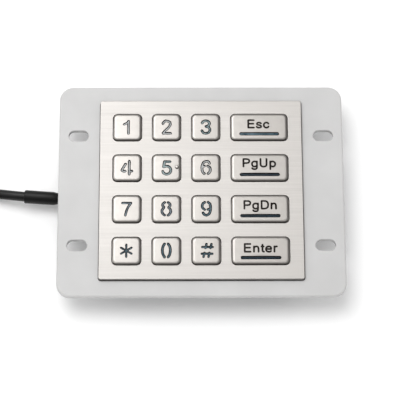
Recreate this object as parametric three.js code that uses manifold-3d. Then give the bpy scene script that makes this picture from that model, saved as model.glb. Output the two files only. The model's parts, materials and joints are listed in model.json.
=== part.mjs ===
// Metal keypad with sixteen sprung keys in a brushed steel panel on a white mounting flange.
// Millimetres. +Z is up, out of the key faces. +X is to the right and +Y away from the user.
// The origin is on the rear cover's back face, in the middle.
import * as THREE from 'three';
import { mergeVertices } from 'three/addons/utils/BufferGeometryUtils.js';
import Module from 'manifold-3d';

const wasm = await Module();
wasm.setup();

// ---------- driving dimensions ----------
const GAP = 0.3; // between neighbours that are cut by each other
const SEAT = 0.5; // depth of the flange's seats for the panel and the gasket

// stack of layers, measured up from the back
const COVER_RIM_Z = 17;
const FLANGE_Z = [18, 21];
const PANEL_Z = [20.5, 23];
const BOARD_Z = [12.4, 14];
const MAT_WEB_Z = [14, 15];
const KEY_SKIRT_Z = [19, 20.25];
const KEY_TOP_Z = 24;
const CABLE_Z = 9;

// key field
const ROW_PITCH = 22.15;
const ROW_Y = [1.5, 0.5, -0.5, -1.5].map((rows) => rows * ROW_PITCH);
const SQUARE_X = [-37.5, -17.5, 2.5];
const WIDE_X = 29.75;
const APERTURE = 15; // side of a square key's window in the panel
const WIDE_APERTURE = 29.5; // the long side of a wide key's window
const APERTURE_CORNER = 2.6;
const CAP_CORNER = APERTURE_CORNER - GAP;
const CAP_EDGE = { out: 1.1, drop: 0.8 }; // how far the cap's top edge is rounded over
const SKIRT_OUT = 0.6; // how far the skirt reaches past the window
const SKIRT_CORNER = 3;
const CAP_WALL = 1.5;
const CAP_ROOF = 1.5;
const BAR_WINDOW = { length: 20, width: 1.6, dy: -3.85 }; // lit bar in a wide key's face

// flat parts
const PANEL = { width: 103, depth: 96, corner: 1.2 };
const FLANGE = { width: 145, depth: 113, corner: 7 };
const FLANGE_WINDOW = { width: 92, depth: 84, corner: 3.5 };
const SLOT = { length: 10.2, width: 5.9, x: 62.5, y: 29.5 };
const COVER = { width: 101, depth: 97, corner: 4, wall: 2, floor: 2 };
const BOARD = { width: 92, depth: 83, corner: 7 };
const MAT = { width: 90, depth: 81, corner: 6 };

// fastening
const OUTER_POST = { x: 44, y: 45, radius: 2.2 };
const INNER_POST = { xs: [-27.5, 12.5], y: ROW_PITCH, radius: 2.2 };
const COVER_POST_RADIUS = 3.4;
const SCREW_HOLE_RADIUS = 1.45;
const SCREW = { shank: 1.15, head: 2.1, headHeight: 1.8 };
const COUNTERBORE = { radius: 2.4, depth: 2.6 };
const SCREW_SINK = 0.4; // the cover screws' heads lie this far inside the back

// keypad mat's domes, and what stands on the board or hangs below it
const DOME = { foot: 5.5, crown: 4, skin: 1 };
const LED = { length: 1.6, width: 1.2, height: 0.7, dx: 2.2 };
const CHIP = { side: 10, height: 1.6 };
const HEADER = { x: [-39, -32], y: [-8, 7], bottom: 6.9 };
const INNER_PLUG = { x: [-42.5, -39.3], y: [-7, 6], z: [7, 12] };
const STUB_X = [-45.7, -41.7]; // the short end of jacket at the inner plug

// cable
const CABLE_RADIUS = 2.5;
const CABLE_Y = -0.6; // where the cable leaves the rear cover
const BOOT_MOUTH_X = -70.5;
const BOOT = { mouth: 3.4, root: 4.6, collar: 5.6, neck: 4.2 }; // radii along the strain relief
const CABLE_HOLE_RADIUS = 4.5;
const SLEEVE_RADIUS = 3.4;
const COIL = { x: -154, y: -16.1, outer: 38.1, pitch: 5.1, turns: 3.917, low: 3.8, high: 8.85 };
const COIL_SKIN = 2.6; // from the outermost turns' middle to the coil's outside
const COIL_TOP_Z = 11.4;
const TAIL_BEND = 21; // radius of the last bend, before the plug
const PLUG_Z = 15.5;
const PLUG = { start: 12.5, length: 26, width: 15.5, height: 7.6 };
const SHELL = { length: 18.7, width: 12, height: 4.5, wall: 0.4 };
const TONGUE = { length: 16, width: 10.6, height: 1.9 };
const TIE = { angle: THREE.MathUtils.degToRad(225), width: 4.5, thickness: 1 };

// the cable's middle line through the sleeve, just past the flange
const SLEEVE_ROUTE = [[-73.2, -0.39, 9], [-79, -0.02, 9], [-84.7, 0.43, 8.98], [-90.4, 0.88, 8.9]];

// the cable's middle line from inside the boot to the edge of the coil
const LEAD_ROUTE = [
  [-46, CABLE_Y, 9], [-52, CABLE_Y, 9], [-58, CABLE_Y, 9], [-64, CABLE_Y, 9], [-70, -0.55, 9],
  [-75, -0.3, 9], [-80, 0.05, 9], [-85, 0.45, 8.98], [-90, 0.85, 8.85], [-95, 1.5, 8.4],
  [-100, 2.4, 7.4], [-105, 3.6, 5.8], [-110, 5.2, 4.2], [-114, 6.7, 3.2], [-117.5, 8.2, 2.8],
];

// ---------- materials ----------
const surface = (color, roughness, metalness) =>
  new THREE.MeshStandardMaterial({ color, roughness, metalness });
const STEEL = surface(0xdedcd6, 0.32, 1);
const KEY_METAL = surface(0xe2e0da, 0.28, 1);
const FROSTED_WHITE = surface(0xdadad8, 0.55, 0);
const LIGHT_GUIDE = surface(0x6d8a90, 0.35, 0);
const SILICONE = surface(0xc9cbc8, 0.7, 0);
const BOARD_GREEN = surface(0x1f5a3a, 0.5, 0);
const BLACK_PLASTIC = surface(0x17171a, 0.5, 0);
const CONNECTOR_CREAM = surface(0xe6e0cc, 0.5, 0);
const COVER_GREY = surface(0x3a3c40, 0.55, 0);
const GASKET_RUBBER = surface(0x1b1b1c, 0.85, 0);
const SCREW_STEEL = surface(0xb9bbbd, 0.35, 1);
const CABLE_BLACK = surface(0x141416, 0.55, 0);
const PLATED = surface(0xc9cacb, 0.25, 1);

// ---------- solids ----------
function toSolid(geometry) {
  const bare = geometry.index ? geometry.toNonIndexed() : geometry.clone();
  bare.deleteAttribute('normal');
  bare.deleteAttribute('uv');
  const merged = mergeVertices(bare, 1e-4);
  return new wasm.Manifold(new wasm.Mesh({
    numProp: 3,
    vertProperties: new Float32Array(merged.attributes.position.array),
    triVerts: new Uint32Array(merged.index.array),
  }));
}

function toGeometry(solid) {
  const mesh = solid.getMesh();
  const geometry = new THREE.BufferGeometry();
  geometry.setAttribute('position', new THREE.BufferAttribute(mesh.vertProperties, 3));
  geometry.setIndex(new THREE.BufferAttribute(mesh.triVerts, 1));
  geometry.computeVertexNormals();
  return geometry;
}

// A rectangle's outline with round corners, its middle at x, y.
function roundedRectangle(width, depth, radius, x = 0, y = 0, outline = new THREE.Shape()) {
  const w = width / 2;
  const d = depth / 2;
  const quarter = Math.PI / 2;
  const corners = [[w - radius, d - radius], [radius - w, d - radius],
    [radius - w, radius - d], [w - radius, radius - d]];
  outline.moveTo(x + w, y + d - radius);
  corners.forEach(([cx, cy], i) => {
    outline.absarc(x + cx, y + cy, radius, i * quarter, (i + 1) * quarter, false);
  });
  outline.closePath();
  return outline;
}

// A round hole, drawn as a square with fully round corners.
function roundHole(x, y, radius) {
  return roundedRectangle(2 * radius, 2 * radius, radius - 0.01, x, y, new THREE.Path());
}

// An outline raised from one height to another; a round corner takes twice the facets given.
function slab(outline, [bottom, top], facets = 1) {
  const geometry = new THREE.ExtrudeGeometry(outline,
    { depth: top - bottom, bevelEnabled: false, curveSegments: facets });
  return geometry.translate(0, 0, bottom);
}

function post(x, y, radius, [bottom, top], sides = 8) {
  const geometry = new THREE.CylinderGeometry(radius, radius, top - bottom, sides);
  return geometry.rotateX(Math.PI / 2).translate(x, y, (bottom + top) / 2);
}

function block([x0, x1], [y0, y1], [z0, z1]) {
  return new THREE.BoxGeometry(x1 - x0, y1 - y0, z1 - z0)
    .translate((x0 + x1) / 2, (y0 + y1) / 2, (z0 + z1) / 2);
}

const joined = (base, extras) => extras.reduce((sum, g) => sum.add(toSolid(g)), base);
const cut = (base, tools) => tools.reduce((rest, g) => rest.subtract(toSolid(g)), base);

const group = new THREE.Group();

function addPiece(name, geometry, material) {
  const mesh = new THREE.Mesh(geometry, material);
  mesh.name = name;
  group.add(mesh);
  return mesh;
}

// ---------- the key field ----------
const LEFT_LEGENDS = [['1', '2', '3'], ['4', '5', '6'], ['7', '8', '9'], ['star', '0', 'hash']];
const WIDE_LEGENDS = ['esc', 'page_up', 'page_down', 'enter'];
const KEYS = ROW_Y.flatMap((y, row) => [
  ...SQUARE_X.map((x, column) => ({ legend: LEFT_LEGENDS[row][column], x, y, length: APERTURE })),
  { legend: WIDE_LEGENDS[row], x: WIDE_X, y, length: WIDE_APERTURE },
]);
const isWide = (key) => key.length > APERTURE;

function makeKeycap(key) {
  const length = key.length - 2 * GAP;
  const width = APERTURE - 2 * GAP;
  const skirt = roundedRectangle(key.length + 2 * SKIRT_OUT, APERTURE + 2 * SKIRT_OUT, SKIRT_CORNER);
  // the bevel rounds both ends of the body, and the lower end is buried in the skirt
  const bodyZ = [KEY_SKIRT_Z[0] + 0.25, KEY_TOP_Z];
  const { out, drop } = CAP_EDGE;
  const core = roundedRectangle(length - 2 * out, width - 2 * out, CAP_CORNER - out);
  const body = new THREE.ExtrudeGeometry(core, {
    depth: bodyZ[1] - bodyZ[0] - 2 * drop, curveSegments: 1,
    bevelEnabled: true, bevelThickness: drop, bevelSize: out, bevelSegments: 2,
  }).translate(0, 0, bodyZ[0] + drop);
  const hollow = slab(roundedRectangle(length - 2 * CAP_WALL, width - 2 * CAP_WALL, 1.5),
    [KEY_SKIRT_Z[0] - 1, KEY_TOP_Z - CAP_ROOF]);
  const windows = isWide(key) ? [slab(barOutline(0), [KEY_TOP_Z - CAP_ROOF - 1, KEY_TOP_Z + 1])] : [];
  return cut(joined(toSolid(slab(skirt, KEY_SKIRT_Z)), [body]), [hollow, ...windows]);
}

function barOutline(inset) {
  const { length, width, dy } = BAR_WINDOW;
  return roundedRectangle(length - 2 * inset, width - 2 * inset, width / 2 - inset - 0.01, 0, dy);
}

// The clear block inside a cap carries light up to its legend.
function makeLightGuide(key) {
  const length = key.length - 2 * (GAP + CAP_WALL + GAP);
  const width = APERTURE - 2 * (GAP + CAP_WALL + GAP);
  const blockTop = KEY_TOP_Z - CAP_ROOF - GAP;
  const base = toSolid(slab(roundedRectangle(length, width, 1.2), [KEY_SKIRT_Z[0], blockTop]));
  const bar = slab(barOutline(GAP), [blockTop - 1, KEY_TOP_Z - GAP]);
  return isWide(key) ? joined(base, [bar]) : base;
}

for (const key of KEYS) {
  addPiece(`keycap_${key.legend}`, toGeometry(makeKeycap(key)), KEY_METAL).position.set(key.x, key.y, 0);
  addPiece(`light_guide_${key.legend}`, toGeometry(makeLightGuide(key)), LIGHT_GUIDE)
    .position.set(key.x, key.y, 0);
}

// ---------- panel, flange and cover ----------
const OUTER_POSTS = [1, -1].flatMap((sx) => [1, -1].map((sy) => [sx * OUTER_POST.x, sy * OUTER_POST.y]));
const INNER_POSTS = INNER_POST.xs.flatMap((x) => [1, -1].map((sy) => [x, sy * INNER_POST.y]));
const POST_ROOT_Z = PANEL_Z[0] + 0.5; // posts are welded in this far
const GASKET_Z = [COVER_RIM_Z, FLANGE_Z[0] + SEAT];
const OUTER_POST_Z = GASKET_Z[1] + 0.25;

function makeFrontPanel() {
  const plate = roundedRectangle(PANEL.width, PANEL.depth, PANEL.corner);
  for (const key of KEYS) {
    plate.holes.push(
      roundedRectangle(key.length, APERTURE, APERTURE_CORNER, key.x, key.y, new THREE.Path()));
  }
  const posts = [
    ...OUTER_POSTS.map(([x, y]) => post(x, y, OUTER_POST.radius, [OUTER_POST_Z, POST_ROOT_Z])),
    ...INNER_POSTS.map(([x, y]) => post(x, y, INNER_POST.radius, [MAT_WEB_Z[0], POST_ROOT_Z])),
  ];
  const threadTop = PANEL_Z[1] - 1;
  const threads = [...OUTER_POSTS, ...INNER_POSTS].map(([x, y]) =>
    post(x, y, SCREW_HOLE_RADIUS, [MAT_WEB_Z[0] - 1, threadTop]));
  return cut(joined(toSolid(slab(plate, PANEL_Z)), posts), threads);
}

function makeMountingFlange() {
  const plate = roundedRectangle(FLANGE.width, FLANGE.depth, FLANGE.corner);
  const { width, depth, corner } = FLANGE_WINDOW;
  plate.holes.push(roundedRectangle(width, depth, corner, 0, 0, new THREE.Path()));
  for (const sx of [1, -1]) {
    for (const sy of [1, -1]) {
      plate.holes.push(roundedRectangle(SLOT.length, SLOT.width, SLOT.width / 2 - 0.01,
        sx * SLOT.x, sy * SLOT.y, new THREE.Path()));
    }
  }
  for (const [x, y] of OUTER_POSTS) plate.holes.push(roundHole(x, y, OUTER_POST.radius + GAP));
  const seat = (part, levels) =>
    slab(roundedRectangle(part.width + 2 * GAP, part.depth + 2 * GAP, part.corner + GAP), levels);
  return cut(toSolid(slab(plate, FLANGE_Z, 2)), [
    seat(PANEL, [PANEL_Z[0], FLANGE_Z[1] + 1]),
    seat(COVER, [FLANGE_Z[0] - 1, GASKET_Z[1]]),
  ]);
}

function makeRearCover() {
  const { width, depth, corner, wall, floor } = COVER;
  const outline = () => roundedRectangle(width, depth, corner);
  const shell = cut(toSolid(slab(outline(), [0, COVER_RIM_Z])), [
    slab(roundedRectangle(width - 2 * wall, depth - 2 * wall, corner - wall), [floor, COVER_RIM_Z + 1]),
  ]);
  const posts = OUTER_POSTS.map(([x, y]) => post(x, y, COVER_POST_RADIUS, [0, COVER_RIM_Z], 10));
  const whole = joined(shell, posts).intersect(toSolid(slab(outline(), [0, COVER_RIM_Z])));
  const bores = OUTER_POSTS.flatMap(([x, y]) => [
    post(x, y, SCREW_HOLE_RADIUS, [-1, COVER_RIM_Z + 1]),
    post(x, y, COUNTERBORE.radius, [-1, COUNTERBORE.depth], 10),
  ]);
  const cableHole = new THREE.CylinderGeometry(CABLE_HOLE_RADIUS, CABLE_HOLE_RADIUS, 3 * wall, 16)
    .rotateZ(Math.PI / 2).translate(-width / 2, CABLE_Y, CABLE_Z);
  return cut(whole, [...bores, cableHole]);
}

// The gasket lies on the rim and the screw posts, which share one outline.
function makeCoverGasket() {
  const { width, depth, corner, wall } = COVER;
  const ring = roundedRectangle(width, depth, corner);
  ring.holes.push(
    roundedRectangle(width - 2 * wall, depth - 2 * wall, corner - wall, 0, 0, new THREE.Path()));
  const pads = OUTER_POSTS.map(([x, y]) => post(x, y, COVER_POST_RADIUS, GASKET_Z, 10));
  const whole = joined(toSolid(slab(ring, GASKET_Z)), pads)
    .intersect(toSolid(slab(roundedRectangle(width, depth, corner), GASKET_Z)));
  return cut(whole, OUTER_POSTS.map(([x, y]) =>
    post(x, y, SCREW_HOLE_RADIUS, [GASKET_Z[0] - 1, GASKET_Z[1] + 1])));
}

addPiece('front_panel', toGeometry(makeFrontPanel()), STEEL);
addPiece('mounting_flange', toGeometry(makeMountingFlange()), FROSTED_WHITE);
addPiece('rear_cover', toGeometry(makeRearCover()), COVER_GREY);
addPiece('cover_gasket', toGeometry(makeCoverGasket()), GASKET_RUBBER);

// ---------- mat and circuit board ----------
function makeSiliconeMat() {
  const web = toSolid(slab(roundedRectangle(MAT.width, MAT.depth, MAT.corner), MAT_WEB_Z));
  const frustum = (key, crown, foot, [bottom, top]) =>
    new THREE.CylinderGeometry(crown, foot, top - bottom, 8)
      .rotateX(Math.PI / 2).translate(key.x, key.y, (bottom + top) / 2);
  const { foot, crown, skin } = DOME;
  const domes = KEYS.map((key) => frustum(key, crown, foot, [MAT_WEB_Z[0] + 0.5, KEY_SKIRT_Z[0]]));
  const hollows = KEYS.map((key) =>
    frustum(key, crown - skin, foot - skin, [MAT_WEB_Z[0] - 1, KEY_SKIRT_Z[0] - skin]));
  const holes = INNER_POSTS.map(([x, y]) =>
    post(x, y, INNER_POST.radius + GAP, [MAT_WEB_Z[0] - 1, MAT_WEB_Z[1] + 1]));
  return cut(joined(web, domes), [...hollows, ...holes]);
}

function makeCircuitBoard() {
  const board = toSolid(slab(roundedRectangle(BOARD.width, BOARD.depth, BOARD.corner), BOARD_Z));
  const leds = KEYS.map((key) => block(
    [key.x + LED.dx - LED.length / 2, key.x + LED.dx + LED.length / 2],
    [key.y - LED.width / 2, key.y + LED.width / 2],
    [BOARD_Z[1] - 0.5, BOARD_Z[1] + LED.height]));
  const holes = INNER_POSTS.map(([x, y]) =>
    post(x, y, SCREW_HOLE_RADIUS, [BOARD_Z[0] - 1, BOARD_Z[1] + 1]));
  return cut(joined(board, leds), holes);
}

addPiece('silicone_mat', toGeometry(makeSiliconeMat()), SILICONE);
addPiece('circuit_board', toGeometry(makeCircuitBoard()), BOARD_GREEN);
const chipSpan = [-CHIP.side / 2, CHIP.side / 2];
addPiece('controller_chip', block(chipSpan, chipSpan, [BOARD_Z[0] - CHIP.height, BOARD_Z[0]]),
  BLACK_PLASTIC);
addPiece('cable_header', block(HEADER.x, HEADER.y, [HEADER.bottom, BOARD_Z[0]]), CONNECTOR_CREAM);

// ---------- screws ----------
// A pan-head screw standing on its head, its head's outer face at z = 0.
function makeScrew(length) {
  const { shank, head, headHeight } = SCREW;
  const profile = [[0, 0], [head - 0.5, 0], [head, 0.5], [head, headHeight], [shank, headHeight],
    [shank, length - 0.5], [shank - 0.4, length], [0, length]].map(([r, z]) => new THREE.Vector2(r, z));
  return new THREE.LatheGeometry(profile, 8).rotateX(Math.PI / 2);
}

const closed = (geometry) => toGeometry(toSolid(geometry));
OUTER_POSTS.forEach(([x, y], i) => {
  addPiece(`cover_screw_${i + 1}`, closed(makeScrew(PANEL_Z[0] - SCREW_SINK)), SCREW_STEEL)
    .position.set(x, y, SCREW_SINK);
});
INNER_POSTS.forEach(([x, y], i) => {
  addPiece(`board_screw_${i + 1}`, closed(makeScrew(8)), SCREW_STEEL)
    .position.set(x, y, BOARD_Z[0] - SCREW.headHeight);
});

// ---------- cable ----------
// A round solid or ring turned about the X axis: each profile point is [x, radius].
function turnedAboutX(profile, y, z, sides = 12) {
  const points = profile.map(([x, r]) => new THREE.Vector2(r, x));
  return closed(new THREE.LatheGeometry(points, sides).rotateZ(-Math.PI / 2)).translate(0, y, z);
}

function tubeAlong(curve, section, steps) {
  return closed(new THREE.ExtrudeGeometry(section,
    { steps, bevelEnabled: false, extrudePath: curve, curveSegments: 2 }));
}

const spline = (points) => new THREE.CatmullRomCurve3(points.map((p) => new THREE.Vector3(...p)));

function roundSection(radius, bore = 0) {
  const half = Math.PI;
  const section = new THREE.Shape();
  section.absarc(0, 0, radius, 0, half, false);
  section.absarc(0, 0, radius, half, 2 * half, false);
  if (bore > 0) {
    const hole = new THREE.Path();
    hole.absarc(0, 0, bore, 0, half, false);
    hole.absarc(0, 0, bore, half, 2 * half, false);
    section.holes.push(hole);
  }
  return section;
}

const BORE = CABLE_RADIUS + GAP;
const wallOut = -COVER.width / 2;
const wallIn = wallOut + COVER.wall;
// the boot's mouth, its long taper, outer collar, neck in the wall, inner collar
const slack = GAP / 3; // between the collars and the wall
addPiece('cable_boot', turnedAboutX([
  [BOOT_MOUTH_X, BORE], [BOOT_MOUTH_X, BOOT.mouth], [wallOut - 3, BOOT.root], [wallOut - 2, BOOT.collar],
  [wallOut - slack, BOOT.collar], [wallOut - slack, BOOT.neck], [wallIn + slack, BOOT.neck],
  [wallIn + slack, BOOT.collar], [wallIn + 1.6, BOOT.collar], [wallIn + 1.6, BORE], [BOOT_MOUTH_X, BORE],
], CABLE_Y, CABLE_Z), CABLE_BLACK);

const stub = new THREE.CylinderGeometry(CABLE_RADIUS, CABLE_RADIUS, STUB_X[1] - STUB_X[0], 8)
  .rotateZ(Math.PI / 2).translate((STUB_X[0] + STUB_X[1]) / 2, CABLE_Y, CABLE_Z);
const innerPlug = toSolid(block(INNER_PLUG.x, INNER_PLUG.y, INNER_PLUG.z));
addPiece('inner_lead', toGeometry(joined(innerPlug, [stub])), CABLE_BLACK);

addPiece('cable_sleeve', tubeAlong(spline(SLEEVE_ROUTE), roundSection(SLEEVE_RADIUS, BORE), 3), CABLE_BLACK);

addPiece('cable_lead', tubeAlong(spline(LEAD_ROUTE), roundSection(CABLE_RADIUS), 22), CABLE_BLACK);

// The coil: its outer shape, with the tie round it, and the plug lying on top.
const coilInner = COIL.outer - COIL.pitch * COIL.turns;
const coilR = [coilInner - COIL_SKIN, COIL.outer + COIL_SKIN];
const coilZ = [COIL.low - CABLE_RADIUS, COIL_TOP_Z];
const coil = new THREE.Group();
coil.position.set(COIL.x, COIL.y, 0);
group.add(coil);

function rectangle([x0, x1], [y0, y1], outline = new THREE.Shape()) {
  outline.moveTo(x0, y0).lineTo(x1, y0).lineTo(x1, y1).lineTo(x0, y1).closePath();
  return outline;
}

function makeCoil() {
  const corners = [[coilR[1], coilZ[0]], [coilR[1], coilZ[1]], [coilR[0], coilZ[1]],
    [coilR[0], coilZ[0]], [coilR[1], coilZ[0]]];
  const profile = corners.map(([r, z]) => new THREE.Vector2(r, z));
  return closed(new THREE.LatheGeometry(profile, 36).rotateX(Math.PI / 2));
}

function makeTie() {
  const grown = (by) => [[coilR[0] - by, coilR[1] + by], [coilZ[0] - by, coilZ[1] + by]];
  const band = rectangle(...grown(GAP + TIE.thickness));
  band.holes.push(rectangle(...grown(GAP), new THREE.Path()));
  return new THREE.ExtrudeGeometry(band, { depth: TIE.width, bevelEnabled: false })
    .rotateX(Math.PI / 2).translate(0, TIE.width / 2, 0).rotateZ(TIE.angle);
}

// The end of the cable climbs over the coil's last eighth and bends inwards to the plug.
const CLIMB = { start: THREE.MathUtils.degToRad(75), straight: COIL.outer - TAIL_BEND - PLUG.start };
const alongCoil = COIL.outer * CLIMB.start;
const alongBend = TAIL_BEND * Math.PI / 2;
const climbLength = alongCoil + alongBend + CLIMB.straight;

function tailPoint(distance) {
  const angle = Math.min(distance / TAIL_BEND, Math.PI / 2);
  const straight = Math.max(distance - alongBend, 0);
  const rise = THREE.MathUtils.smoothstep(alongCoil + distance, 0, climbLength);
  return [COIL.outer - TAIL_BEND + TAIL_BEND * Math.cos(angle) - straight,
    TAIL_BEND * Math.sin(angle), THREE.MathUtils.lerp(COIL.high, PLUG_Z, rise)];
}

function makeTail() {
  const from = TAIL_BEND * THREE.MathUtils.degToRad(36); // where it has cleared the coil's top
  const to = alongBend + CLIMB.straight - GAP;
  const points = Array.from({ length: 8 }, (_, i) => tailPoint(THREE.MathUtils.lerp(from, to, i / 7)));
  return tubeAlong(spline(points), roundSection(CABLE_RADIUS), 4);
}

// A block lying on the coil, along the plug's axis: its near end, length, width and height.
function plugBlock(near, length, width, height) {
  return block([near - length, near], [TAIL_BEND - width / 2, TAIL_BEND + width / 2],
    [PLUG_Z - height / 2, PLUG_Z + height / 2]);
}

const shellStart = PLUG.start - PLUG.length - GAP;
function makePlugShell() {
  const { length, width, height, wall } = SHELL;
  const inside = plugBlock(shellStart - wall, length, width - 2 * wall, height - 2 * wall);
  return toGeometry(cut(toSolid(plugBlock(shellStart, length, width, height)), [inside]));
}

// the contact tongue fills the lower half of the shell
const tongueDrop = (SHELL.height - TONGUE.height) / 2 - SHELL.wall - GAP;
const coilPieces = {
  cable_coil: [makeCoil(), CABLE_BLACK],
  cable_tie: [makeTie(), BLACK_PLASTIC],
  cable_tail: [makeTail(), CABLE_BLACK],
  plug_body: [plugBlock(PLUG.start, PLUG.length, PLUG.width, PLUG.height), BLACK_PLASTIC],
  plug_shell: [makePlugShell(), PLATED],
  plug_tongue: [plugBlock(shellStart - SHELL.wall - GAP, TONGUE.length, TONGUE.width, TONGUE.height)
    .translate(0, 0, -tongueDrop), BLACK_PLASTIC],
};
for (const [name, [geometry, material]] of Object.entries(coilPieces)) {
  coil.add(addPiece(name, geometry, material));
}

export default group;
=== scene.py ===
"""A metal keypad with sixteen sprung keys: its looks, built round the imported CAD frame.

+Z is out of the key faces, +X to the right and +Y up the keypad. Shapes are written in millimetres
and scaled to metres as their meshes are made.
"""
import json
from math import atan2, copysign, cos, floor, pi, radians, sin, tau

import bmesh
import bpy
from mathutils import Matrix, Vector
from mathutils.geometry import delaunay_2d_cdt


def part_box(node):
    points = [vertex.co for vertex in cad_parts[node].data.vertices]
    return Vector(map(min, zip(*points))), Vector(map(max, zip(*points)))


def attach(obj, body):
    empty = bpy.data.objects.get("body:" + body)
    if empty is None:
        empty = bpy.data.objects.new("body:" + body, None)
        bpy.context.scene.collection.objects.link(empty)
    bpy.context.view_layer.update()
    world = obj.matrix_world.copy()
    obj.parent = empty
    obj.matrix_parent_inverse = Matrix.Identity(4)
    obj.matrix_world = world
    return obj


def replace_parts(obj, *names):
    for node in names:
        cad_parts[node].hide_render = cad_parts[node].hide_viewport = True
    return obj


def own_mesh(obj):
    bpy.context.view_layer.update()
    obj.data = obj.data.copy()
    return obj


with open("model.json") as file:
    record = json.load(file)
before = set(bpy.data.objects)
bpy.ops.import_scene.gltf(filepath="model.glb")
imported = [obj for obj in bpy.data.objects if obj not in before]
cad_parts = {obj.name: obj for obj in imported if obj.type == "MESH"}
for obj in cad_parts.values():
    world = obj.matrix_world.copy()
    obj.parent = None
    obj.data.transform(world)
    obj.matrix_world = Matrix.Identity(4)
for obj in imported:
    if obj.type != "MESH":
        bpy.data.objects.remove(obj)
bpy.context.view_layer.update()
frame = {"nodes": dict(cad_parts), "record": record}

MM = 0.001
SCENE = bpy.context.scene
HOUSING = "housing"
WELD = 0.0005  # points closer than this, in millimetres, are one
CUT_WELD = 0.01  # the same after a cut
CUT_SLIVER = 0.001
SHARP = radians(34)  # edges that turn by more than this stay sharp


def add_object(name, data):
    """A new object in the scene, holding this mesh, curve, light or camera."""
    obj = bpy.data.objects.new(name, data)
    SCENE.collection.objects.link(obj)
    return obj


def clean_mesh(mesh, weld, sliver=0.0):
    """Welds points closer than weld, dissolves faces thinner than sliver, and shades by angle."""
    cleaned = bmesh.new()
    cleaned.from_mesh(mesh)
    bmesh.ops.remove_doubles(cleaned, verts=cleaned.verts, dist=weld)
    if sliver:
        bmesh.ops.dissolve_degenerate(cleaned, edges=cleaned.edges, dist=sliver)
    cleaned.to_mesh(mesh)
    cleaned.free()
    mesh.polygons.foreach_set("use_smooth", [True] * len(mesh.polygons))
    mesh.set_sharp_from_angle(angle=SHARP)


# ---------- camera ----------
CAMERA_TARGET = Vector((-0.62, -6.14, 23)) * MM
CAMERA_DISTANCE = 1.0015
CAMERA_ELEVATION = radians(70.34)
CAMERA_YAW = radians(-1.21)
CAMERA_ROLL = radians(1.04)
CAMERA_LENS = 178.47  # millimetres, on the usual 36 mm sensor


def make_camera():
    flat = cos(CAMERA_ELEVATION)
    back = Vector((sin(CAMERA_YAW) * flat, -cos(CAMERA_YAW) * flat, sin(CAMERA_ELEVATION)))
    level = Vector((cos(CAMERA_YAW), sin(CAMERA_YAW), 0))
    upright = back.cross(level)
    right = cos(CAMERA_ROLL) * level + sin(CAMERA_ROLL) * upright
    up = back.cross(right)
    data = bpy.data.cameras.new("camera")
    data.lens = CAMERA_LENS
    data.clip_end = 10
    camera = add_object("camera", data)
    camera.matrix_world = Matrix.Translation(CAMERA_TARGET + back * CAMERA_DISTANCE) @ Matrix(
        (right, up, back)).transposed().to_4x4()
    SCENE.camera = camera


# ---------- outlines ----------
def quarter_turn(steps):
    """Evenly spaced angles from 0 to a quarter turn."""
    return [i / steps * pi / 2 for i in range(steps + 1)]


def rounded(width, depth, radius, x=0.0, y=0.0, steps=6):
    """The points of a rectangle with round corners, counter-clockwise, its middle at x, y."""
    points = []
    for quarter, (sx, sy) in enumerate(((1, 1), (-1, 1), (-1, -1), (1, -1))):
        cx, cy = x + sx * (width / 2 - radius), y + sy * (depth / 2 - radius)
        for i in range(steps + 1):
            angle = (quarter + i / steps) * pi / 2
            points.append((cx + radius * cos(angle), cy + radius * sin(angle)))
    return points


def circle(radius, x=0.0, y=0.0, count=24):
    return [(x + radius * cos(tau * i / count), y + radius * sin(tau * i / count))
            for i in range(count)]


def smooth_path(points, steps=6):
    """A Catmull-Rom curve through the points; two points make a straight line."""
    ends = [2 * points[0] - points[1], *points, 2 * points[-1] - points[-2]]
    path = []
    for a, b, c, d in zip(ends, ends[1:], ends[2:], ends[3:]):
        for i in range(steps if len(points) > 2 else 1):
            t = i / steps
            path.append(0.5 * ((2 * b) + (c - a) * t + (2 * a - 5 * b + 4 * c - d) * t**2
                               + (3 * b - a - 3 * c + d) * t**3))
    return [*path, points[-1]]


def stroke_outline(points, radius, cap_steps=6):
    """The outline of a round-ended stroke of a pen along a smooth path, counter-clockwise."""
    path = smooth_path([Vector(p) for p in points])
    ways = [(b - a).normalized() for a, b in zip(path, path[1:])]
    ways = [ways[0], *[(a + b).normalized() for a, b in zip(ways, ways[1:])], ways[-1]]

    def side(sign):
        """One side's points, without those that a tight bend folds back under the pen."""
        points = [p + sign * radius * Vector((w.y, -w.x)) for p, w in zip(path, ways)]
        return [tuple(q) for q in points if min((q - p).length for p in path) > 0.97 * radius]

    def cap(end, way):
        start = atan2(-way.x, way.y)
        return [(end.x + radius * cos(start + pi * i / cap_steps),
                 end.y + radius * sin(start + pi * i / cap_steps)) for i in range(1, cap_steps)]

    return side(1) + cap(path[-1], ways[-1]) + side(-1)[::-1] + cap(path[0], -ways[0])


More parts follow.
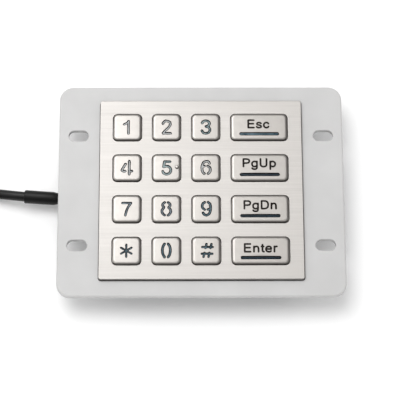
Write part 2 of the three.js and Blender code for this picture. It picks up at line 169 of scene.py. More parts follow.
# ---------- meshes ----------
class Shape:
    """A mesh in the making: rings and flat faces in millimetres, each face with a paint number."""

    def __init__(self):
        self.points, self.faces, self.paints = [], [], []

    def add_points(self, points):
        first = len(self.points)
        self.points.extend(points)
        return list(range(first, len(self.points)))

    def add_face(self, indices, paint=0):
        self.faces.append(indices)
        self.paints.append(paint)

    def loft(self, rings, paint=0, closed=False, paints=None):
        """Joins rings of (x, y, z) points. Going up an outer wall, or inwards on top, faces out. Gives
        the shape itself, as solid does."""
        rows = [self.add_points(ring) for ring in rings]
        pairs = list(zip(rows, rows[1:] + rows[:1]))[: None if closed else len(rows) - 1]
        for n, (a, b) in enumerate(pairs):
            for i in range(len(a)):
                j = (i + 1) % len(a)
                self.add_face([a[i], a[j], b[j], b[i]], paints[n] if paints else paint)
        return self

    def cap(self, ring, paint=0, up=True):
        """One flat face over a convex ring."""
        indices = self.add_points(ring)
        self.add_face(indices if up else indices[::-1], paint)

    def solid(self, rings, paint=0):
        """A loft closed with a cap at each end, from its lowest ring to its highest."""
        self.loft(rings, paint)
        self.cap(rings[-1], paint)
        self.cap(rings[0], paint, up=False)
        return self

    def flat(self, outline, z, regions=(), paint=0, up=True, levels=None, extra=()):
        """A flat face cut along closed loops. Regions are (kind, outline), and the last kind named in
        levels wins where they overlap. Levels give a kind's height, the paint of its floor, or None
        to leave it open, and the paint of the walls that go down to it. Any other kind is a hole.
        Extra points make the face finer."""
        levels = levels or {}
        ranks = list(levels)
        heights = {None: z, **{kind: level[0] for kind, level in levels.items()}}
        kinds = [None] + [kind for kind, _ in regions]
        loops, flat_points = [], []
        for loop in [outline] + [loop for _, loop in regions]:
            loops.append(list(range(len(flat_points), len(flat_points) + len(loop))))
            flat_points.extend(Vector(p[:2]) for p in loop)
        flat_points.extend(Vector(p) for p in extra)
        made, _, faces, _, _, origins = delaunay_2d_cdt(flat_points, [], loops, 1, 1e-7)
        owners = {}
        for face, origin in zip(faces, origins):
            found = [kinds[i] for i in origin if kinds[i]]
            kind = max(found, key=lambda k: ranks.index(k) if k in ranks else -1) if found else None
            owners.update(((a, b), kind) for a, b in zip(face, face[1:] + face[:1]))
            floor_paint = levels[kind][1] if kind in levels else paint if kind is None else None
            if floor_paint is not None:
                corners = self.add_points([(made[i].x, made[i].y, heights[kind]) for i in face])
                self.add_face(corners if up else corners[::-1], floor_paint)
        for (a, b), kind in owners.items():
            other = owners.get((b, a))
            if other not in levels or (kind and kind not in levels):
                continue
            if kind is None or ranks.index(kind) < ranks.index(other):
                ends = [(made[i].x, made[i].y, heights[k])
                        for i, k in ((b, kind), (a, kind), (a, other), (b, other))]
                self.add_face(self.add_points(ends), levels[other][2])

    def piece(self, name, materials, place=Matrix()):
        """Welds the mesh, scales it to metres and makes an object of it. Place is in millimetres."""
        mesh = bpy.data.meshes.new(name)
        mesh.from_pydata(self.points, [], self.faces)
        mesh.polygons.foreach_set("material_index", self.paints)
        clean_mesh(mesh, WELD)
        for material in materials:
            mesh.materials.append(material)
        mesh.transform(Matrix.Scale(MM, 4) @ place)
        return add_object(name, mesh)


def span(node):
    """A CAD node's lowest and highest corners, in millimetres."""
    low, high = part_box(node)
    return low / MM, high / MM


def at(outline, z):
    return [(x, y, z) for x, y in outline]


def growing(width, depth, radius, x=0.0, y=0.0, steps=6):
    """A function that gives this rounded outline, grown on all sides by a distance."""
    return lambda by: rounded(width + 2 * by, depth + 2 * by, radius + by, x, y, steps)


def middle_of(node):
    """The x and y of a CAD node's middle, worked out as plain numbers, which a Vector would round."""
    low, high = span(node)
    return (low.x + high.x) / 2, (low.y + high.y) / 2


def node_outline(node, radius, grown=0.0, steps=6, centred=True):
    """The rounded outline of a CAD node seen from above, about the origin or where it lies."""
    low, high = span(node)
    x, y = (0, 0) if centred else middle_of(node)
    return growing(high.x - low.x + 2 * grown, high.y - low.y + 2 * grown, radius + grown, x, y, steps)


def wall(bottom, top, lower, upper, steps=4, rest=0.1):
    """(inset, height) pairs up a wall whose lower and upper edges are rounded over."""
    turns = quarter_turn(steps)
    return [(lower + rest, bottom),
            *[(lower * (1 - sin(t)), bottom + lower * (1 - cos(t))) for t in turns],
            *[(upper * (1 - cos(t)), top - upper * (1 - sin(t))) for t in turns],
            (upper + rest, top)]


def outer_rings(outline, pairs):
    return [at(outline(-inset), z) for inset, z in pairs]


def hole_rings(outline, pairs):
    return [at(outline(inset), z) for inset, z in reversed(pairs)]


def turned_rings(profile, count=32):
    """Rings about the Z axis from (height, radius) pairs."""
    return [at(circle(radius, count=count), height) for height, radius in profile]


def along(start, end):
    """The matrix that lays the local Z axis from one point towards another, in millimetres."""
    start, end = Vector(start), Vector(end)
    return Matrix.Translation(start) @ (end - start).to_track_quat("Z", "Y").to_matrix().to_4x4()


def combine(base, tool, operation):
    """Applies a boolean to base and removes the tool."""
    modifier = base.modifiers.new("cut", "BOOLEAN")
    modifier.operation = operation
    modifier.solver = "EXACT"
    modifier.object = tool
    evaluated = base.evaluated_get(bpy.context.evaluated_depsgraph_get())
    mesh = bpy.data.meshes.new_from_object(evaluated)
    clean_mesh(mesh, CUT_WELD * MM, CUT_SLIVER * MM)
    base.modifiers.clear()
    base.data = mesh
    mesh.name = base.name
    bpy.data.objects.remove(tool)


# ---------- materials ----------
def add_node(tree, kind, inputs, output, operation=None):
    """A new node; gives one of its outputs. Each input is a value or another node's output."""
    node = tree.nodes.new(kind)
    if operation:
        node.operation = operation
    for name, value in inputs.items():
        if isinstance(value, bpy.types.NodeSocket):
            tree.links.new(value, node.inputs[name])
        else:
            node.inputs[name].default_value = value
    return node.outputs[output]


def add_ramp(tree, source, stops):
    """A colour ramp through (position, colour) stops, fed by a source."""
    color = add_node(tree, "ShaderNodeValToRGB", {"Fac": source}, "Color")
    elements = color.node.color_ramp.elements
    while len(elements) < len(stops):
        elements.new(0.5)
    for element, (position, stop_color) in zip(elements, stops):
        element.position = position
        element.color = (*stop_color, 1)
    return color


class Surface:
    """A Principled material with node helpers. Values that are the same all over go straight on the
    shader's own sockets."""

    def __init__(self, name, color, roughness, metallic=0.0, gloss=0.5, **sockets):
        self.material = bpy.data.materials.new(name)
        self.material.use_nodes = True
        self.tree = self.material.node_tree
        self.shader = self.tree.nodes["Principled BSDF"]
        self.normal = None
        values = {"Base Color": (*color, 1), "Roughness": roughness, "Metallic": metallic,
                  "Specular IOR Level": gloss, **sockets}
        for socket, value in values.items():
            self.shader.inputs[socket].default_value = value

    def feed(self, source, socket):
        self.tree.links.new(source, self.shader.inputs[socket])
        return self

    def noise(self, scale, detail=2.0, roughness=0.5):
        """Noise in the object's own space. Scale is in repeats per millimetre, one for all ways or one
        each along X, Y and Z."""
        scale = scale if isinstance(scale, tuple) else (scale, scale, scale)
        place = add_node(self.tree, "ShaderNodeTexCoord", {}, "Object")
        scaled = add_node(self.tree, "ShaderNodeMapping", {
            "Vector": place, "Scale": [repeats / MM for repeats in scale]}, "Vector")
        return add_node(self.tree, "ShaderNodeTexNoise", {
            "Vector": scaled, "Scale": 1, "Detail": detail, "Roughness": roughness}, "Fac")

    def paint(self, source, dark, light, low=0.3, high=0.7):
        return self.feed(add_ramp(self.tree, source, [(low, dark), (high, light)]), "Base Color")

    def vary_roughness(self, source, low, high):
        return self.feed(add_node(self.tree, "ShaderNodeMapRange", {
            "Value": source, "From Min": 0.3, "From Max": 0.7, "To Min": low, "To Max": high}, "Result"),
            "Roughness")

    def bump(self, source, height):
        """Raises the surface by up to a height in millimetres; bumps add up."""
        inputs = {"Height": source, "Distance": height * MM}
        if self.normal:
            inputs["Normal"] = self.normal
        self.normal = add_node(self.tree, "ShaderNodeBump", inputs, "Normal")
        return self.feed(self.normal, "Normal")


def grey(value, warm=0.0):
    return (value * (1 + warm), value, value * (1 - warm))


def make_brushed_steel():
    s = Surface("panel_steel", grey(0.48), 0.45, 1.0)
    fine = s.noise((0.025, 4.5, 4.5), 3, 0.7)
    broad = s.noise((0.012, 1.1, 1.1), 2)
    s.paint(fine, grey(0.37, 0.035), grey(0.44, 0.035), 0.25, 0.75)
    s.vary_roughness(broad, 0.435, 0.475)
    s.shader.inputs["Anisotropic"].default_value = 0.5
    s.feed(add_node(s.tree, "ShaderNodeCombineXYZ", {"X": 1}, "Vector"), "Tangent")
    return s.bump(fine, 0.006).bump(s.noise(0.35, 2), 0.01).material


def make_key_metal():
    s = Surface("key_metal", grey(0.52), 0.34, 1.0)
    cloud = s.noise(0.25, 3)
    s.paint(cloud, grey(0.35, 0.045), grey(0.37, 0.045))
    s.vary_roughness(s.noise(1.2, 2), 0.37, 0.41)
    return s.bump(s.noise(6, 2), 0.003).material


def make_frosted_white():
    s = Surface("frosted_white", grey(0.54), 0.5, **{
        "Subsurface Weight": 0.15, "Subsurface Scale": 3 * MM, "Subsurface Radius": (1, 0.95, 0.9)})
    s.paint(s.noise(0.05, 3), grey(0.52, 0.004), grey(0.56, 0.004))
    s.vary_roughness(s.noise(0.6, 2), 0.46, 0.54)
    return s.bump(s.noise(4, 2), 0.006).material


def make_light_guide(name, dark, light, gloss=0.3):
    """Clear resin in a key's legend: a dark glaze whose depth varies softly over a few millimetres."""
    s = Surface(name, dark, 0.22, gloss=gloss)
    s.paint(s.noise((0.22, 0.3, 0.3), 2), dark, light, 0.35, 0.65)
    return s.bump(s.noise(1.5, 1), 0.01).material


def make_moulded(name, dark, light, roughness, grain=3.0, height=0.01, metallic=0.0, **sockets):
    """A moulded or coated surface: soft colour change, and a grain of so many grains a millimetre."""
    s = Surface(name, dark, roughness, metallic, **sockets)
    s.paint(s.noise(0.12, 3), dark, light)
    s.vary_roughness(s.noise(0.8, 2), roughness - 0.04, roughness + 0.04)
    return s.bump(s.noise(grain, 2), height).material


STEEL = make_brushed_steel()
KEY_METAL = make_key_metal()
FROSTED = make_frosted_white()
# dark ink in the engraved words, and painted shade on the walls of the cut legends
INK_AND_SHADE = make_moulded("legend_ink_and_painted_shade", (0.01, 0.007, 0.006), (0.016, 0.012, 0.01), 0.7, gloss=0.15)
# painted shade: black on the light guide round each figure, standing for the shade in the gap by the cut
# walls
GUIDE_SHADE = make_moulded("guide_painted_shade", grey(0.005), grey(0.009), 0.75, gloss=0.15)
SILICONE = make_moulded("silicone", grey(0.55), grey(0.64), 0.55, 2, 0.01, **{"Subsurface Weight": 0.2,
                        "Subsurface Scale": 1.5 * MM})
BOARD = make_moulded("board_green", (0.02, 0.13, 0.06), (0.035, 0.19, 0.09), 0.35, 2, 0.01)
BLACK_PLASTIC = make_moulded("black_plastic", grey(0.005), grey(0.009), 0.42, 4, 0.01, gloss=0.22)
CREAM = make_moulded("connector_cream", (0.66, 0.62, 0.5), (0.74, 0.7, 0.58), 0.45, 2, 0.008)
COVER_GREY = make_moulded("cover_grey", (0.042, 0.045, 0.05), (0.055, 0.058, 0.064), 0.55, 2.2, 0.03)
RUBBER = make_moulded("black_rubber", grey(0.012), grey(0.02), 0.8, 5, 0.02)
# painted shade: a black sheet on the flange's seat, standing for the shade in the gap round the panel
SEAT_SHADE = make_moulded("seat_painted_shade", grey(0.02), grey(0.035), 0.7, 3, 0.02)
PLATED = make_moulded("plated_steel", grey(0.58), grey(0.68), 0.25, 1.5, 0.003, 1.0)
GOLD = make_moulded("gold_contact", (0.75, 0.5, 0.2), (0.85, 0.6, 0.26), 0.25, 1.5, 0.002, 1.0)
JACKET = make_moulded("cable_black", grey(0.007), grey(0.012), 0.4, 3, 0.012, gloss=0.28)


# ---------- lead: cable, coil, tie, sleeve, boot and plug ----------
CABLE_RADIUS = 2.5
CABLE_BORE = CABLE_RADIUS + 0.05  # the holes that the cable passes through
CABLE_Y = -0.6
COVER_WALL = 2
BOOT_MOUTH = Vector((-70.5, CABLE_Y, 9))
BOOT = {"mouth": 3.4, "root": 4.6, "collar": 5.6, "neck": 4.2, "ribs": 5}  # radii, and how many ribs
SLEEVE_RADIUS = 3.4
COIL = Vector((-154, -16.1, 0))
COIL_OUTER = 38.1
COIL_PITCH = 5.1
COIL_TURNS = 3.917  # in each of its two layers
COIL_HEIGHTS = (3.8, 8.85)
COIL_SKIN = 2.6  # from the outermost turns' middle to the coil's outside
TAIL_BEND = 21
PLUG_Z = 15.5
PLUG_START = 12.5
CABLE_IN_PLUG = 3  # how far the cable runs into the grip
PLUG_LENGTH = 26
LATCH_WINDOW = {"size": 2.4, "aside": 2.6, "start": 6.2}
CONTACT = {"length": 11, "width": 1.1, "pitch": 2.3, "start": 7, "raised": 0.12}
TIE_ANGLE = radians(225)
TIE_WIDTH = 4.5
TIE_THICKNESS = 1.0
BUCKLE = {"length": 6.5, "height": 3.0, "corner": 0.7, "off": 6}  # off the middle of the strap

# the cable's middle line from inside the boot to the edge of the coil, as in the CAD model, and
# its last two points before the coil's first turn
LEAD_ROUTE = [
    (-46, CABLE_Y, 9), (-52, CABLE_Y, 9), (-58, CABLE_Y, 9), (-64, CABLE_Y, 9), (-70, -0.55, 9),
    (-75, -0.3, 9), (-80, 0.05, 9), (-85, 0.45, 8.98), (-90, 0.85, 8.85), (-95, 1.5, 8.4),
    (-100, 2.4, 7.4), (-105, 3.6, 5.8), (-110, 5.2, 4.2), (-114, 6.7, 3.2), (-117.5, 8.2, 2.8),
    (-122, 10.2, 2.65), (-128.5, 13.45, 2.95),
]
SLEEVE_ENDS = ((-73.2, -0.39, 9), (-90.4, 0.88, 8.9))


def smoothstep(value):
    value = min(max(value, 0), 1)
    return value * value * (3 - 2 * value)


def coil_points(per_turn=24):
    """Two flat spirals, inwards below and outwards on top, ending on the +X side where the tail
    starts. The last stretch climbs towards the plug's height."""
    climb_start = radians(75)
    bend_length = TAIL_BEND * pi / 2
    climb_length = COIL_OUTER * climb_start + bend_length + COIL_OUTER - TAIL_BEND - PLUG_START
    crossing = radians(70)  # how long the cable takes to step from one layer to the next
    low, high = COIL_HEIGHTS

    def climbed(distance):
        return high + (PLUG_Z - high) * smoothstep(distance / climb_length)

    points = []
    count = round(2 * COIL_TURNS * per_turn)
    for i in range(count + 1):
        turned = 2 * COIL_TURNS * i / count
        left = tau * (2 * COIL_TURNS - turned)
        radius = COIL_OUTER - COIL_PITCH * min(turned, 2 * COIL_TURNS - turned)
        step = (tau * (turned - COIL_TURNS) + crossing / 2) / crossing
        z = low + (high - low) * smoothstep(step)
        if left < climb_start:
            z = climbed((climb_start - left) * COIL_OUTER)
        points.append(COIL + Vector((radius * cos(left), -radius * sin(left), z)))
    for angle in quarter_turn(6)[1:]:
        points.append(COIL + Vector((COIL_OUTER - TAIL_BEND + TAIL_BEND * cos(angle),
                                     TAIL_BEND * sin(angle),
                                     climbed(COIL_OUTER * climb_start + TAIL_BEND * angle))))
    return [*points, COIL + Vector((PLUG_START, TAIL_BEND, PLUG_Z)),
            COIL + Vector((PLUG_START - CABLE_IN_PLUG, TAIL_BEND, PLUG_Z))]


def make_cable():
    points = [Vector(p) for p in LEAD_ROUTE] + coil_points()
    data = bpy.data.curves.new("cable", "CURVE")
    data.dimensions = "3D"
    data.resolution_u = 4
    data.bevel_depth = CABLE_RADIUS * MM
    data.bevel_resolution = 6
    data.use_fill_caps = True
    spline = data.splines.new("BEZIER")
    spline.bezier_points.add(len(points) - 1)
    for knot, point in zip(spline.bezier_points, points):
        knot.co = point * MM
        knot.handle_left_type = knot.handle_right_type = "AUTO"
    data.materials.append(JACKET)
    cable = add_object("cable", data)
    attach(cable, HOUSING)
    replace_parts(cable, "cable_lead", "cable_coil", "cable_tail")
    return cable


def make_boot():
    """The strain relief: a collar on each side of the cover's wall, then a ribbed taper."""
    root = span("rear_cover")[0].x - BOOT_MOUTH.x
    mouth, thick, collar, neck, ribs = BOOT.values()
    profile = [(0.4, CABLE_BORE), (0, CABLE_BORE + 0.4), (0, mouth - 0.3), (0.3, mouth)]
    rib_start, rib_end = 1.8, root - 3.6
    pitch = (rib_end - rib_start) / ribs
    rib, groove = pitch * 0.58, pitch * 0.42
    for i in range(ribs):
        start = rib_start + pitch * i
        radius = mouth + (thick - mouth) * start / rib_end
        profile += [(start, radius), (start + 0.12, radius - 0.55), (start + groove, radius - 0.5),
                    (start + groove + 0.12, radius + 0.04), (start + groove + rib - 0.1, radius + 0.14)]
    inside = root + COVER_WALL
    profile += [(root - 3, thick), (root - 2.2, collar - 0.3), (root - 1.9, collar), (root - 0.4, collar),
                (root - 0.1, collar - 0.3), (root - 0.1, neck), (inside + 0.1, neck),
                (inside + 0.1, collar - 0.2), (inside + 0.3, collar), (inside + 1.6, collar),
                (inside + 1.6, CABLE_BORE)]
    shape = Shape().loft(turned_rings(profile), closed=True)
    boot = shape.piece("strain_relief_boot", [JACKET], along(BOOT_MOUTH, BOOT_MOUTH + Vector((1, 0, 0))))
    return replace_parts(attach(boot, HOUSING), "cable_boot")


def make_sleeve():
    start, end = (Vector(p) for p in SLEEVE_ENDS)
    length = (end - start).length
    bore, radius = CABLE_BORE, SLEEVE_RADIUS
    profile = [(0.3, bore), (0, bore + 0.3), (0, radius - 0.55), (1.9, radius - 0.1), (2.4, radius),
               (length - 0.5, radius), (length - 0.15, radius - 0.15), (length, radius - 0.45),
               (length, bore + 0.3), (length - 0.3, bore)]
    shape = Shape().loft(turned_rings(profile), closed=True)
    sleeve = shape.piece("cable_collar", [BLACK_PLASTIC], along(start, end))
    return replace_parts(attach(sleeve, HOUSING), "cable_sleeve")


def make_tie():
    """A strap round the coil's section, with its buckle on top."""
    unwound = -TIE_ANGLE / tau
    passes = (unwound % 1, (2 * COIL_TURNS - unwound) % 1)  # of each layer's first turn, in pitches
    inner = COIL_OUTER - COIL_PITCH * (floor(COIL_TURNS) + max(passes)) - COIL_SKIN
    outer = COIL_OUTER - COIL_PITCH * min(passes) + COIL_SKIN
    bottom, top = COIL_HEIGHTS[0] - CABLE_RADIUS, COIL_HEIGHTS[1] + CABLE_RADIUS
    middle = ((inner + outer) / 2, (bottom + top) / 2)
    loop = growing(outer - inner, top - bottom, 2.4, *middle, steps=8)
    half, near, far = TIE_WIDTH / 2, 0.1, TIE_THICKNESS
    bevel = 0.25
    sides = [(near, -half + bevel), (near + bevel, -half), (far - bevel, -half), (far, -half + bevel),
             (far, half - bevel), (far - bevel, half), (near + bevel, half), (near, half - bevel)]
    shape = Shape().loft([at(loop(by), z) for by, z in sides], closed=True)
    buckle = growing(BUCKLE["length"], BUCKLE["height"], BUCKLE["corner"], middle[0] + BUCKLE["off"],
                     top + BUCKLE["height"] / 2)
    shape.solid(outer_rings(buckle, wall(-half - 1, half + 1, 0.4, 0.4, rest=0.2)))
    place = Matrix.Translation(COIL) @ Matrix.Rotation(TIE_ANGLE, 4, "Z") @ Matrix.Rotation(pi / 2, 4, "X")
    tie = shape.piece("coil_tie", [BLACK_PLASTIC], place)
    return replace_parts(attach(tie, HOUSING), "cable_tie")


def make_plug():
    """A moulded grip, its plated shell with the four latch windows, and the contact tongue."""
    low, high = span("plug_body")
    y = middle_of("plug_body")[1]
    width, height = high.y - low.y, high.z - low.z

    def ahead(x):
        return along((x, y, PLUG_Z), (x - 1, y, PLUG_Z))

    # width and height across, against the distance from the cable's end
    sections = [(0, 7.2, 6.2), (0.3, 7.8, 6.8), (1.4, 7.8, 6.8), (1.6, 7.0, 6.0), (2.2, 7.0, 6.0),
                (2.4, 8.2, 6.9), (3.6, 8.4, 7.0), (3.8, 7.6, 6.3), (4.4, 7.6, 6.3), (4.6, 8.8, 7.1),
                (5.6, 10, 7.2), (7, 13.2, 7.4), (8.2, 14.8, 7.5), (9.5, width - 0.2, height)]
    for i in range(5):
        groove = 11 + 1.8 * i
        sections += [(groove, width, height), (groove + 0.3, width - 0.7, height),
                     (groove + 0.7, width - 0.7, height), (groove + 1.0, width, height)]
    sections += [(PLUG_LENGTH - 0.8, width, height), (PLUG_LENGTH - 0.3, width - 0.3, height - 0.3),
                 (PLUG_LENGTH, width - 1, height - 1)]
    grip = Shape().solid([at(rounded(w, h, min(h, w) * 0.3), z) for z, w, h in sections])
    body = grip.piece("plug_grip", [BLACK_PLASTIC], ahead(high.x))
    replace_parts(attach(body, HOUSING), "plug_body")

    low, high = span("plug_shell")
    length = high.x - low.x
    tube = growing(high.y - low.y, high.z - low.z, 0.9, steps=5)
    thickness = 0.4
    shell = Shape().loft([at(tube(by), z) for by, z in (
        (-thickness, 0), (0, 0), (0, length - 0.2), (-0.12, length), (-thickness + 0.1, length),
        (-thickness, length - 0.2))], closed=True)
    plated = shell.piece("plug_shell_plated", [PLATED], ahead(high.x))
    windows = Shape()
    for side in (-1, 1):
        size, start = LATCH_WINDOW["size"], LATCH_WINDOW["start"]
        hole = rounded(size, 20, 0.2, side * LATCH_WINDOW["aside"], 0, 3)
        windows.solid([at(hole, z) for z in (start, start + size)])
    combine(plated, windows.piece("windows", [PLATED], ahead(high.x)), "DIFFERENCE")
    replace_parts(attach(plated, HOUSING), "plug_shell")

    low, high = span("plug_tongue")
    tongue = Shape()
    block = node_outline("plug_tongue", 0.3, steps=2, centred=False)
    tongue.solid(outer_rings(block, wall(low.z, high.z, 0.2, 0.2, 2)))
    for i in range(4):
        strip = growing(CONTACT["length"], CONTACT["width"], 0.15, low.x + CONTACT["start"],
                        y + CONTACT["pitch"] * (i - 1.5), 2)
        edge = wall(high.z - 0.1, high.z + CONTACT["raised"], 0, 0.05, 2, 0)
        tongue.solid(outer_rings(strip, edge), paint=1)
    contacts = tongue.piece("plug_contacts", [BLACK_PLASTIC, GOLD])
    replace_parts(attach(contacts, HOUSING), "plug_tongue")
    return [body, plated, contacts]


def make_lead():
    cable = make_cable()
    with_pieces = [make_boot(), make_sleeve(), make_tie(), *make_plug()]


# ---------- keys ----------
GAP = 0.3
SKIRT_OUT = 0.6  # how far a keycap's skirt reaches past its window
SKIRT_HEIGHT = 1.25
CAP_CORNER = 2.3
CAP_WALL = 1.5
CAP_ROOF = 1.5
# how a cap's top edge is rounded over, and the level rim inside it
EDGE = {"out": 1.35, "drop": 0.8, "steps": 8, "rest": 0.12}
CROWN = {"across": 0.04, "along": 0.01}  # how far a cap's face falls away towards its sides
INK_DEPTH = 0.12
RESIN_SINK = 0.4  # how far the resin lies below the cap's face
STROKE = 0.73  # half the width of a cut legend's stroke
THIN_STROKES = {"star": 0.58, "hash": 0.64, "7": 0.67, "1": 0.68}  # the same for the thinner ones
FIT = 0.4  # the gap between a cut legend's walls and the resin in it, its walls and floor painted black as shade
BAR = {"length": 20.4, "width": 1.85, "dy": -3.85}


def mirrored(stroke, middle):
    """A stroke and its mirror image across the line x = middle."""
    return [stroke, [(round(2 * middle - x, 3), y) for x, y in stroke]]


# each legend's strokes: points that a round pen passes through, from the middle of the cap
GLYPHS = {
    "1": [[(0.5, 3.2), (0.5, -3.6)], [(0.5, 3.2), (-0.35, 2.15), (-1.7, 1.45)]],
    "2": [[(-1.9, 1.8), (-1.45, 2.8), (-0.1, 3.3), (1.4, 2.75), (1.85, 1.5), (1.2, 0), (-0.3, -1.6),
        (-1.75, -3.2)], [(-1.75, -3.5), (1.95, -3.5)]],
    "3": [[(-1.9, 2.1), (-1.2, 3), (0.1, 3.35), (1.4, 2.9), (1.85, 1.8), (1.3, 0.7), (0.1, 0.2)],
        [(0.1, 0.2), (1.5, -0.3), (2.1, -1.6), (1.5, -3), (0.1, -3.6), (-1.3, -3.2), (-2, -2.1)]],
    "4": [[(1.05, 3.4), (1.05, -3.6)], [(1.05, -1.95), (2.4, -1.95)], [(-0.85, 1.9), (-2, -0.1),
        (-2.65, -1.5)], [(-2.65, -1.5), (-1.95, -2), (-1, -2)]],
    "5": [[(1.75, 3.15), (-1.1, 3.15)], [(-1.1, 3.15), (-1.47, 0.5)], [(-1.5, 0.3), (-0.3, 0.75),
        (1, 0.5), (2, -0.6), (2, -2.2), (1, -3.4), (-0.4, -3.55), (-1.5, -3), (-1.95, -2.1)]],
    "6": [[(1.75, 2.2), (1.2, 3.1), (0.1, 3.35), (-1.2, 2.7), (-1.95, 1), (-2.05, -1), (-1.6, -2.6),
        (-0.85, -3.4)], [(-1.7, 0.4), (-0.85, 0.7)], [(0.85, 0.75), (1.9, -0.1), (2.15, -1.5), (1.7, -2.7),
        (0.95, -3.4)]],
    "7": [[(-2.2, 3.05), (2.1, 3.05)], [(2.1, 3.05), (0.8, 1.1), (-0.15, -1.1), (-0.7, -3.5)]],
    "8": mirrored([(-0.95, 3.3), (-1.85, 2.5), (-1.9, 1.5), (-1.3, 0.55), (-2.1, -0.4), (-2.3, -1.7),
        (-1.7, -2.9), (-0.95, -3.5)], -0.1),
    "9": [[(-0.75, 3.35), (-1.7, 2.6), (-2.05, 1.4), (-1.7, 0.2), (-0.85, -0.5)], [(0.95, 3.35), (1.8, 2.5),
        (2.2, 0.8), (2.05, -1.2), (1.4, -2.8), (0.2, -3.5), (-0.95, -3.2), (-1.6, -2.3)], [(0.85, -0.45),
        (1.9, -0.2)]],
    "0": mirrored([(-0.95, 3.4), (-1.75, 2), (-2.05, 0), (-1.75, -2), (-0.95, -3.5)], -0.05),
    "star": [[(-0.1, 3.1), (-0.1, -3.3)], [(-2.7, 1.45), (2.5, -1.65)], [(-2.7, -1.65), (2.5, 1.45)]],
    "hash": [[(-2.1, 1.75), (3.1, 1.75)], [(-2.3, -1.8), (2.9, -1.8)], [(0, 3.3), (-0.5, 1.2)],
        [(2.5, 3.3), (2, 1.2)], [(-1, -1.3), (-1.5, -3.4)], [(1.5, -1.3), (1, -3.4)]],
}
# the letters of the engraved words, the same way, in hundredths of their height: advance and strokes
LETTERS = {
    "E": (93, [[(19, 8), (19, 92)], [(19, 92), (77, 92)], [(19, 52), (73, 52)], [(19, 8), (78, 8)]]),
    "P": (93, [[(19, 8), (19, 92)], [(19, 92), (50, 92)], [(19, 46), (50, 46)], [(50, 92), (70, 88),
        (79, 77), (79, 62), (70, 50), (50, 46)]]),
    "U": (100, [[(19, 92), (19, 38)], [(82, 92), (82, 38)], [(19, 38), (22, 20), (34, 9), (50.5, 6),
        (67, 9), (79, 20), (82, 38)]]),
    "D": (100, [[(19, 8), (19, 92)], [(19, 92), (46, 92)], [(19, 8), (46, 8)], [(46, 92), (68, 88),
        (82, 75), (87, 50), (82, 25), (68, 12), (46, 8)]]),
    "s": (70, [[(56, 55), (47, 62.5), (34, 65), (20, 61.5), (13, 52), (19, 42), (34, 36.5), (51, 31),
        (58, 20.5), (50, 10.5), (34, 7), (19, 9.5), (10, 18)]]),
    "c": (70, [[(60, 52), (52, 62), (38, 65), (23, 60), (14, 48), (12, 36), (14, 24), (23, 12), (38, 7),
        (53, 10), (61, 20)]]),
    "g": (78, [[(63.5, 65), (63.5, 2)], [(63.5, 50), (54, 61), (38, 65), (22, 59), (13, 46), (13, 26),
        (22, 12), (38, 7), (53, 11), (63.5, 22)], [(63.5, 2), (59, -14), (48, -21), (34, -22), (21, -19),
        (13, -10)]]),
    "p": (78, [[(17, 65), (17, -22)], [(17, 50), (27, 61), (42, 65), (58, 59), (67, 46), (67, 26), (58, 12),
        (42, 7), (27, 11), (17, 22)]]),
    "n": (81, [[(17, 65), (17, 8)], [(64, 42), (64, 8)], [(17, 46), (26, 59), (41, 65), (57, 60),
        (64, 42)]]),
    "t": (40, [[(20, 84), (20, 50), (20, 24), (25, 11), (35, 8)], [(10, 64), (32, 64)]]),
    "e": (78, [[(13, 37), (66, 37)], [(66, 37), (63, 53), (53, 63), (40, 65), (25, 61), (15, 49), (12, 36),
        (15, 22), (25, 11), (40, 7), (53, 8), (63, 15)]]),
    "r": (47, [[(17, 65), (17, 8)], [(17, 40), (19, 52), (26, 61), (34, 64.5), (43, 64.5)]]),
}
# each word, and how far its middle is along the cap and its base line up it
WORDS = {"esc": ("Esc", -0.6, -0.85), "page_up": ("PgUp", -0.4, 0.05),
         "page_down": ("PgDn", -0.1, -0.45), "enter": ("Enter", -0.4, -1.15)}
LETTER_HEIGHT = 4.85
LETTER_SPACING = 4
LETTER_STROKE = 0.48  # half the width of a letter's stroke
PIP = {"x": 5.2, "y": 0.2, "radius": 1.0, "edge": 0.5, "height": 0.75}  # the raised dot that finds key 5
LEGENDS = [*GLYPHS, *WORDS]


def word_regions(legend):
    """The outlines of the letters' strokes, in millimetres from the cap's middle."""
    word, middle, base = WORDS[legend]
    letters = [LETTERS[letter] for letter in word]
    length = sum(advance + LETTER_SPACING for advance, _ in letters) - LETTER_SPACING
    regions, start = [], -length / 2
    scale = LETTER_HEIGHT / 100
    for advance, strokes in letters:
        for stroke in strokes:
            points = [(middle + scale * (start + x), base + scale * y) for x, y in stroke]
            regions.append(("ink", stroke_outline(points, LETTER_STROKE)))
        start += advance + LETTER_SPACING
    return regions


def cut_regions(legend, grown=0.0):
    """The outlines cut through a cap: a figure's strokes, or a wide key's bar."""
    if legend in WORDS:
        length, width = BAR["length"] + 2 * grown, BAR["width"] + 2 * grown
        return [("cut", rounded(length, width, width / 2 - 0.01, 0, BAR["dy"]))]
    stroke = THIN_STROKES.get(legend, STROKE) + grown
    return [("cut", stroke_outline(points, stroke)) for points in GLYPHS[legend]]


def key_size(legend):
    """A key's middle, the width and depth of its cap above the skirt, and its lowest and highest z."""
    low, high = span(f"keycap_{legend}")
    inset = 2 * (SKIRT_OUT + GAP)
    return (low + high) / 2, high.x - low.x - inset, high.y - low.y - inset, low.z, high.z


